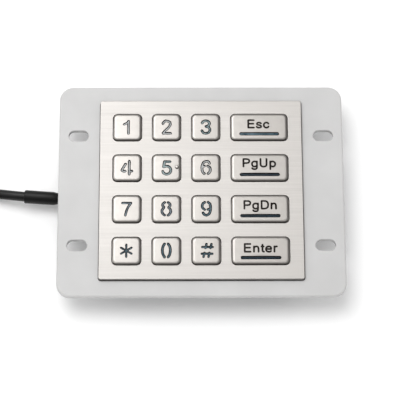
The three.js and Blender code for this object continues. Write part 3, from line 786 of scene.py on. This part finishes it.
def make_keycap(legend):
    middle, width, depth, bottom, top = key_size(legend)
    skirt_top = bottom + SKIRT_HEIGHT
    roof = top - CAP_ROOF
    body = growing(width, depth, CAP_CORNER, steps=8)
    skirt = growing(width + 2 * (SKIRT_OUT + GAP), depth + 2 * (SKIRT_OUT + GAP), 3, steps=8)
    hollow = rounded(width - 2 * CAP_WALL, depth - 2 * CAP_WALL, 1.5, steps=8)
    rings = [at(hollow, roof), at(hollow, bottom)]
    rings += [at(skirt(-inset), z) for inset, z in (
        (0.15, bottom), (0, bottom + 0.15), (0, skirt_top - 0.15), (0.15, skirt_top))]
    rings += [at(body(0), z) for z in (skirt_top, (skirt_top + top - EDGE["drop"]) / 2)]

    def drawn_in(inset):
        """The cap's outline drawn in, its corners tightening less than its sides move."""
        return rounded(width - 2 * inset, depth - 2 * inset, CAP_CORNER - 0.6 * inset, steps=8)

    for turn in quarter_turn(EDGE["steps"]):
        inset = EDGE["out"] * (1 - cos(turn))
        rings.append(at(drawn_in(inset), top - EDGE["drop"] * (1 - sin(turn))))
    inset = EDGE["out"] + EDGE["rest"]
    face = drawn_in(inset)
    rings.append(at(face, top))
    shape = Shape().loft(rings)
    cuts = cut_regions(legend)
    letters = word_regions(legend) if legend in WORDS else []
    half_width, half_depth = width / 2 - inset, depth / 2 - inset
    columns, rows = round(half_width / 0.6), 8
    grid = [(half_width * (2 * i / columns - 1), half_depth * (2 * j / rows - 1))
            for i in range(1, columns) for j in range(1, rows)]
    # the words are inked; the cut legend's walls get the same dark paint as painted shade
    shape.flat(face, top, cuts + letters, extra=grid,
               levels={"ink": (top - INK_DEPTH, 1, 1), "cut": (roof, None, 1)})

    def crowned(x, y, z):
        fall = CROWN["across"] * (x / half_width)**2 + CROWN["along"] * (y / half_depth)**2
        return x, y, z - fall * smoothstep((z - top) / EDGE["drop"] + 1)

    shape.points = [crowned(*point) for point in shape.points]
    shape.flat(hollow, roof, cuts, up=False)
    if legend == "5":
        radius, height = PIP["radius"], PIP["height"]
        pip = [(-0.4, radius), (0.1, radius)]
        for turn in quarter_turn(6)[1:]:
            pip.append((0.1 + (height - 0.1) * sin(turn), radius - PIP["edge"] * (1 - cos(turn))))
        shift = Matrix.Translation((PIP["x"], PIP["y"], top - 0.03))
        shape.solid([[tuple(shift @ Vector(p)) for p in ring] for ring in turned_rings(pip, 16)])
    cap = shape.piece(f"cap_{legend}", [KEY_METAL, INK_AND_SHADE], Matrix.Translation((middle.x, middle.y, 0)))
    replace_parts(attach(cap, f"key_{legend}"), f"keycap_{legend}")


def make_guide(legend, resin):
    """The resin block inside a cap, painted black as shade but for the legend standing up into the cut one.
    """
    middle, _, _, _, top = key_size(legend)
    low, _ = span(f"light_guide_{legend}")
    block_top = top - CAP_ROOF - GAP
    block = node_outline(f"light_guide_{legend}", 1.2)
    rings = outer_rings(block, wall(low.z, block_top, 0.3, 0.2, 2))
    shape = Shape().loft(rings)
    # the block's top and the walls round the legend are painted black as shade
    shape.flat(block(-0.3), block_top, cut_regions(legend, -FIT), paint=1,
               levels={"cut": (top - RESIN_SINK, 0, 1)})
    shape.flat(block(-0.4), low.z, up=False)
    guide = shape.piece(f"resin_{legend}", [resin, GUIDE_SHADE], Matrix.Translation((middle.x, middle.y, 0)))
    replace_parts(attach(guide, f"key_{legend}"), f"light_guide_{legend}")


# The resin is palest in 1, 2, 4 and 6 and darkest in the three lower wide keys. Its teal tint is its own,
# but how light each key's copy is, is painted light and shade: lighter towards the key light at the upper
# left, darker towards the right and bottom.
RESIN_COLORS = {
    "pale": ((0.17, 0.18, 0.185), (0.42, 0.43, 0.43)),
    "teal": ((0.05, 0.085, 0.095), (0.26, 0.33, 0.335)),
    "deep": ((0.03, 0.045, 0.06), (0.16, 0.2, 0.23)),
    "blue": ((0.01, 0.035, 0.05), (0.07, 0.12, 0.15)),
    "dark": ((0.006, 0.012, 0.018), (0.012, 0.024, 0.034), 0.12),  # the last value is its gloss
}
RESINS = {shade: make_light_guide(f"resin_{shade}", *looks) for shade, looks in RESIN_COLORS.items()}
RESIN_OF = {"1": "pale", "2": "pale", "3": "teal", "4": "pale", "5": "teal", "6": "pale",
            "7": "deep", "8": "deep", "9": "blue", "star": "blue", "0": "blue", "hash": "blue",
            "esc": "blue", "page_up": "dark", "page_down": "dark", "enter": "dark"}


def make_keys():
    for legend in LEGENDS:
        make_keycap(legend)
        make_guide(legend, RESINS[RESIN_OF[legend]])


# ---------- panel, flange and rear cover ----------
PANEL_THICKNESS = 2.5
PANEL_CORNER = 1.2
WINDOW_CORNER = 2.6
SEAT = 0.5
# the gap round the panel, whose floor and lower walls are painted black as shade
SHADED_SEAT_GAP = 0.27
SCREW_NUMBERS = range(1, 5)
SCREW_HOLE = 1.45
POST_RADIUS = 2.2
POST_ROOT = 0.5  # how far the panel's posts reach into its sheet
COVER_POST_DROP = 1.75
COVER_POST_RADIUS = 3.4
POST_INWARD = 0.35
CABLE_HOLE = 4.5
COUNTERBORE = {"radius": 2.4, "depth": 2.6}
FLANGE_CORNER = 7
FLANGE_WINDOW = (92, 84, 3.5)
SLOT = {"length": 10.2, "width": 5.9}
COVER_CORNER = 4


def screw_places(kind):
    """The middles of the four cover or board screws, seen from above."""
    return [middle_of(f"{kind}_screw_{i}") for i in SCREW_NUMBERS]


def add_tube(shape, x, y, radius, bore, bottom, top):
    """A round post with a blind hole in its lower end."""
    blind = top - 0.8
    profile = [(blind, bore * 0.2), (blind, bore), (bottom, bore), (bottom, radius - 0.2),
               (bottom + 0.2, radius), (top, radius)]
    shape.solid([at(circle(r, x, y), z) for z, r in profile])


def make_front_panel():
    low, high = span("front_panel")
    top, bottom = high.z, high.z - PANEL_THICKNESS
    plate = node_outline("front_panel", PANEL_CORNER)
    edge = wall(bottom, top, 0.15, 0.25)
    shape = Shape().loft(outer_rings(plate, edge))
    top_holes, bottom_holes = [], []
    for legend in LEGENDS:
        middle, width, depth, _, _ = key_size(legend)
        window = growing(width + 2 * GAP, depth + 2 * GAP, WINDOW_CORNER, middle.x, middle.y, 8)
        pairs = wall(bottom, top, 0.1, 0.14)
        shape.loft(hole_rings(window, pairs))
        top_holes.append(("hole", window(pairs[-1][0])))
        bottom_holes.append(("hole", window(pairs[0][0])))
    shape.flat(plate(-edge[-1][0]), top, top_holes)
    shape.flat(plate(-edge[0][0]), bottom, bottom_holes, up=False)
    for x, y in screw_places("cover"):
        add_tube(shape, x, y, POST_RADIUS, SCREW_HOLE, bottom - COVER_POST_DROP, bottom + POST_ROOT)
    for x, y in screw_places("board"):
        add_tube(shape, x, y, POST_RADIUS, SCREW_HOLE, low.z, bottom + POST_ROOT)
    panel = shape.piece("panel_sheet", [STEEL])
    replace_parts(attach(panel, HOUSING), "front_panel")


def make_flange():
    low, high = span("mounting_flange")
    plate = node_outline("mounting_flange", FLANGE_CORNER, steps=10)
    shape = Shape().loft(outer_rings(plate, wall(low.z, high.z, 0.7, 0.9)))
    panel_seat = node_outline("front_panel", PANEL_CORNER, SHADED_SEAT_GAP)
    cover_seat = node_outline("rear_cover", COVER_CORNER, GAP)
    lower, upper = low.z + SEAT, high.z - SEAT
    inner_holes = [growing(*FLANGE_WINDOW)(0)]
    inner_holes += [circle(POST_RADIUS + GAP, x, y) for x, y in screw_places("cover")]
    for hole in inner_holes:
        shape.loft([at(hole, upper), at(hole, lower)])
    inner_holes = [("hole", hole) for hole in inner_holes]
    # the seat's floor and its walls below the top edge are painted black as shade
    shape.flat(panel_seat(0), upper, inner_holes, paint=1)
    shape.flat(cover_seat(0), lower, inner_holes, up=False)
    shape.loft([at(panel_seat(0.1), high.z), at(panel_seat(0), high.z - 0.1), at(panel_seat(0), upper)],
               paints=[0, 1])
    shape.loft([at(cover_seat(0), lower), at(cover_seat(0), low.z + 0.1), at(cover_seat(0.1), low.z)])
    top_holes, bottom_holes = [("hole", panel_seat(0.1))], [("hole", cover_seat(0.1))]
    for opening in frame["record"]["physics"]["openings"]:
        corners = opening["box_m"]
        x, y = ((a + b) / 2 / MM for a, b in zip(corners[0][:2], corners[1][:2]))
        slot = growing(SLOT["length"], SLOT["width"], SLOT["width"] / 2 - 0.01, x, y, 8)
        pairs = wall(low.z, high.z, 0.2, 0.35)
        shape.loft(hole_rings(slot, pairs))
        top_holes.append(("hole", slot(pairs[-1][0])))
        bottom_holes.append(("hole", slot(pairs[0][0])))
    shape.flat(plate(-1.0), high.z, top_holes)
    shape.flat(plate(-0.8), low.z, bottom_holes, up=False)
    flange = shape.piece("flange_moulding", [FROSTED, SEAT_SHADE])
    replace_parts(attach(flange, HOUSING), "mounting_flange")


def make_rear_cover():
    low, high = span("rear_cover")
    outside = node_outline("rear_cover", COVER_CORNER, steps=8)
    rings = outer_rings(outside, wall(low.z, high.z, 1.2, 0.2))
    rings += [at(outside(-COVER_WALL), high.z), at(outside(-COVER_WALL), low.z + COVER_WALL + 0.6),
              at(outside(-COVER_WALL - 0.6), low.z + COVER_WALL)]
    shape = Shape().loft(rings)
    shape.flat(outside(-1.3), low.z, up=False)
    shape.flat(outside(-COVER_WALL - 0.6), low.z + COVER_WALL)
    cover = shape.piece("rear_cover_moulding", [COVER_GREY])
    posts, bores = Shape(), Shape()

    def add_cylinder(into, x, y, radius, bottom, top):
        ring = circle(radius, x, y, 32)
        into.solid([at(ring, bottom), at(ring, top)])

    for x, y in screw_places("cover"):
        # a post stands inside the wall, so that it never shows through the outside
        inward_x, inward_y = x - copysign(POST_INWARD, x), y - copysign(POST_INWARD, y)
        add_cylinder(posts, inward_x, inward_y, COVER_POST_RADIUS, low.z + 1, high.z)
        add_cylinder(bores, x, y, SCREW_HOLE, low.z - 1, high.z + 1)
        add_cylinder(bores, x, y, COUNTERBORE["radius"], low.z - 1, low.z + COUNTERBORE["depth"])
    combine(cover, posts.piece("posts", [COVER_GREY]), "UNION")
    combine(cover, bores.piece("bores", [COVER_GREY]), "DIFFERENCE")
    cable_hole = Shape()
    add_cylinder(cable_hole, 0, 0, CABLE_HOLE, -COVER_WALL - 1, COVER_WALL + 1)
    place = along((low.x, CABLE_Y, BOOT_MOUTH.z), (low.x + 1, CABLE_Y, BOOT_MOUTH.z))
    combine(cover, cable_hole.piece("cable_hole", [COVER_GREY], place), "DIFFERENCE")
    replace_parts(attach(cover, HOUSING), "rear_cover")


def plus(arm, half_width):
    """A cross recess's outline, counter-clockwise."""
    a, h = arm, half_width
    return [(a, -h), (a, h), (h, h), (h, a), (-h, a), (-h, h), (-a, h), (-a, -h), (-h, -h), (-h, -a),
            (h, -a), (h, -h)]


def make_screw(kind, number):
    """A pan-head screw, built head up and turned over."""
    node = f"{kind}_screw_{number}"
    low, high = span(node)
    x, y = middle_of(node)
    length = high.z - low.z
    pitch, core, crest = 0.45, 0.95, 1.15
    profile = [(-length, 0.5), (-length + 0.5, core)]
    turns = int((length - 3.4) / pitch)
    for i in range(turns):
        z = -length + 0.6 + i * pitch
        profile += [(z, core), (z + pitch * 0.35, crest), (z + pitch * 0.55, crest), (z + pitch * 0.9, core)]
    profile += [(-1.9, crest), (-1.8, 1.25), (-1.8, 2.0), (-1.7, 2.1), (-0.9, 2.1), (-0.45, 1.95),
                (-0.15, 1.65), (0, 1.25)]
    shape = Shape()
    rings = turned_rings(profile)
    shape.loft(rings)
    shape.flat(circle(1.25, count=32), 0, [("recess", plus(0.95, 0.21))], levels={"recess": (-0.8, 0, 0)})
    shape.cap(rings[0], up=False)
    turned_over = Matrix.Translation((x, y, low.z)) @ Matrix.Rotation(pi, 4, "X")
    place = turned_over @ Matrix.Rotation(0.4 * number, 4, "Z")  # each stopped at its own angle
    screw = shape.piece(f"{node}_pan_head", [PLATED], place)
    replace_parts(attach(screw, HOUSING), node)


# ---------- mat and board ----------
DOME = {"foot": 5.5, "crown": 4, "skin": 1}
MAT_THICKNESS = 1
MAT_CORNER = 6


def make_mat():
    """The keypad mat: a flat web on the board, and a sprung dome below each key."""
    low, high = span("silicone_mat")
    web_top = low.z + MAT_THICKNESS
    sheet = node_outline("silicone_mat", MAT_CORNER)
    shape = Shape().loft(outer_rings(sheet, wall(low.z, web_top, 0.2, 0.3)))
    foot, crown, skin = DOME["foot"], DOME["crown"], DOME["skin"]
    middles = {legend: key_size(legend)[0] for legend in LEGENDS}
    holes = [circle(foot - skin, middle.x, middle.y, 32) for middle in middles.values()]
    holes += [circle(POST_RADIUS + GAP, x, y) for x, y in screw_places("board")]
    for hole in holes:
        shape.loft([at(hole, web_top), at(hole, low.z)])
    holes = [("hole", hole) for hole in holes]
    shape.flat(sheet(-0.4), web_top, holes)
    shape.flat(sheet(-0.3), low.z, holes, up=False)
    web = shape.piece("mat_web", [SILICONE])
    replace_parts(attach(web, HOUSING), "silicone_mat")
    height = high.z - web_top
    roof = height - skin
    profile = [(roof, 0.4), (roof, 1.7), (roof - 0.7, 1.7), (roof - 0.7, 2.0), (roof, 2.2),
               (roof - 0.2, crown - skin), (0.4, foot - skin - 0.2), (0, foot - skin), (0, foot),
               (0.35, foot - 0.45), (1.1, foot - 0.85), (height - 0.6, crown + 0.1),
               (height - 0.15, crown - 0.1), (height, crown - 0.4), (height, 0.4)]
    for legend, middle in middles.items():
        dome = Shape().solid(turned_rings(profile))
        place = Matrix.Translation((middle.x, middle.y, web_top))
        piece = dome.piece(f"mat_dome_{legend}", [SILICONE], place)
        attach(piece, HOUSING)
        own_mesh(piece)


def dress_inner_nodes():
    """The pieces inside the cover keep their CAD shapes and get their finishes."""
    finishes = {"circuit_board": BOARD, "controller_chip": BLACK_PLASTIC, "cable_header": CREAM,
                "inner_lead": JACKET, "cover_gasket": RUBBER}
    for node, finish in finishes.items():
        mesh = frame["nodes"][node].data
        mesh.materials.clear()
        mesh.materials.append(finish)


# ---------- studio ----------
FLOOR_SIZE = 6.0
FLOOR_GLOW = 0.08
KEY = {"place": (-0.2, 0.14, 0.9), "width": 0.58, "depth": 0.64, "power": 5.2}
SOFTBOX = {"place": (-0.27, 0.34, 0.8), "width": 0.5, "depth": 0.5, "power": 3.6}
BACKDROP = 0.9  # what the camera sees behind the floor
AMBIENT = 0.66
# how bright reflections see the studio, against the direction's x and y, from -1 to 1
SKY_ACROSS = ((-1, 0.65), (-0.4, 1.0), (0, 1.0), (0.3, 0.55), (0.6, 0.16), (0.85, 0.18), (1, 0.4))
SKY_UP = ((-1, 0.4), (-0.88, 0.18), (-0.7, 0.12), (-0.45, 0.35), (-0.25, 1.1), (-0.1, 1.5), (0.12, 1.3),
          (0.34, 1.0), (0.6, 0.8), (1, 0.5))
SKY_TINT = (1.0, 0.985, 0.965)


def make_floor():
    finish = Surface("floor_paper", grey(0.9), 0.6, gloss=0.1, **{
        "Emission Color": (1, 1, 1, 1), "Emission Strength": FLOOR_GLOW})
    finish.paint(finish.noise(0.004, 2), grey(0.93), grey(0.95))
    half = FLOOR_SIZE / 2
    mesh = bpy.data.meshes.new("floor")
    corners = [(-half, -half, 0), (half, -half, 0), (half, half, 0), (-half, half, 0)]
    mesh.from_pydata(corners, [], [(0, 1, 2, 3)])
    mesh.materials.append(finish.material)
    add_object("floor", mesh)


def make_light(name, place, width, depth, power, for_gloss):
    """A soft box in metres, aimed at the origin. It lights matt surfaces or shows in glossy ones."""
    data = bpy.data.lights.new(name, "AREA")
    data.shape = "RECTANGLE"
    data.size = width
    data.size_y = depth
    data.energy = power
    light = add_object(name, data)
    light.visible_diffuse = not for_gloss
    light.visible_glossy = for_gloss
    light.location = place
    light.rotation_euler = Vector(place).to_track_quat("Z", "Y").to_euler()


def make_world():
    """Even light on matt surfaces, a pale backdrop, and for reflections a sky that is bright overhead
    and on the key light's side, and dim on the far side."""
    world = bpy.data.worlds.new("studio")
    world.use_nodes = True
    tree = world.node_tree
    place = add_node(tree, "ShaderNodeTexCoord", {}, "Generated")
    half = (0.5, 0.5, 0.5)  # takes -1 to 1 into a ramp's 0 to 1
    halved = add_node(tree, "ShaderNodeVectorMath", {0: place, 1: half, 2: half}, "Vector",
                      operation="MULTIPLY_ADD")
    parts = add_node(tree, "ShaderNodeSeparateXYZ", {"Vector": halved}, "X").node.outputs

    def level(axis, stops, tint=(1, 1, 1)):
        colors = [((across + 1) / 2, [value * part for part in tint]) for across, value in stops]
        return add_ramp(tree, parts[axis], colors)

    levels = {0: level("X", SKY_ACROSS), 1: level("Y", SKY_UP, SKY_TINT)}
    product = add_node(tree, "ShaderNodeVectorMath", levels, "Vector", operation="MULTIPLY")
    sky = tree.nodes["Background"]
    tree.links.new(product, sky.inputs["Color"])

    def choose(ray, level, others):
        """One level for one kind of ray, and something else for all others."""
        chosen = add_node(tree, "ShaderNodeLightPath", {}, ray)
        plain = add_node(tree, "ShaderNodeBackground", {"Color": (level, level, level, 1)}, "Background")
        return add_node(tree, "ShaderNodeMixShader", {"Fac": chosen, 1: others, 2: plain}, "Shader")

    lit = choose("Is Diffuse Ray", AMBIENT, sky.outputs["Background"])
    shown = choose("Is Camera Ray", BACKDROP, lit)
    tree.links.new(shown, tree.nodes["World Output"].inputs["Surface"])
    SCENE.world = world


def make_studio():
    make_floor()
    make_world()
    make_light("key", **KEY, for_gloss=False)
    make_light("softbox", **SOFTBOX, for_gloss=True)
    SCENE.view_settings.view_transform = "Standard"


make_camera()
make_studio()
make_lead()
make_keys()
make_front_panel()
make_flange()
make_rear_cover()
for screw_kind in ("cover", "board"):
    for screw_number in SCREW_NUMBERS:
        make_screw(screw_kind, screw_number)
make_mat()
dress_inner_nodes()
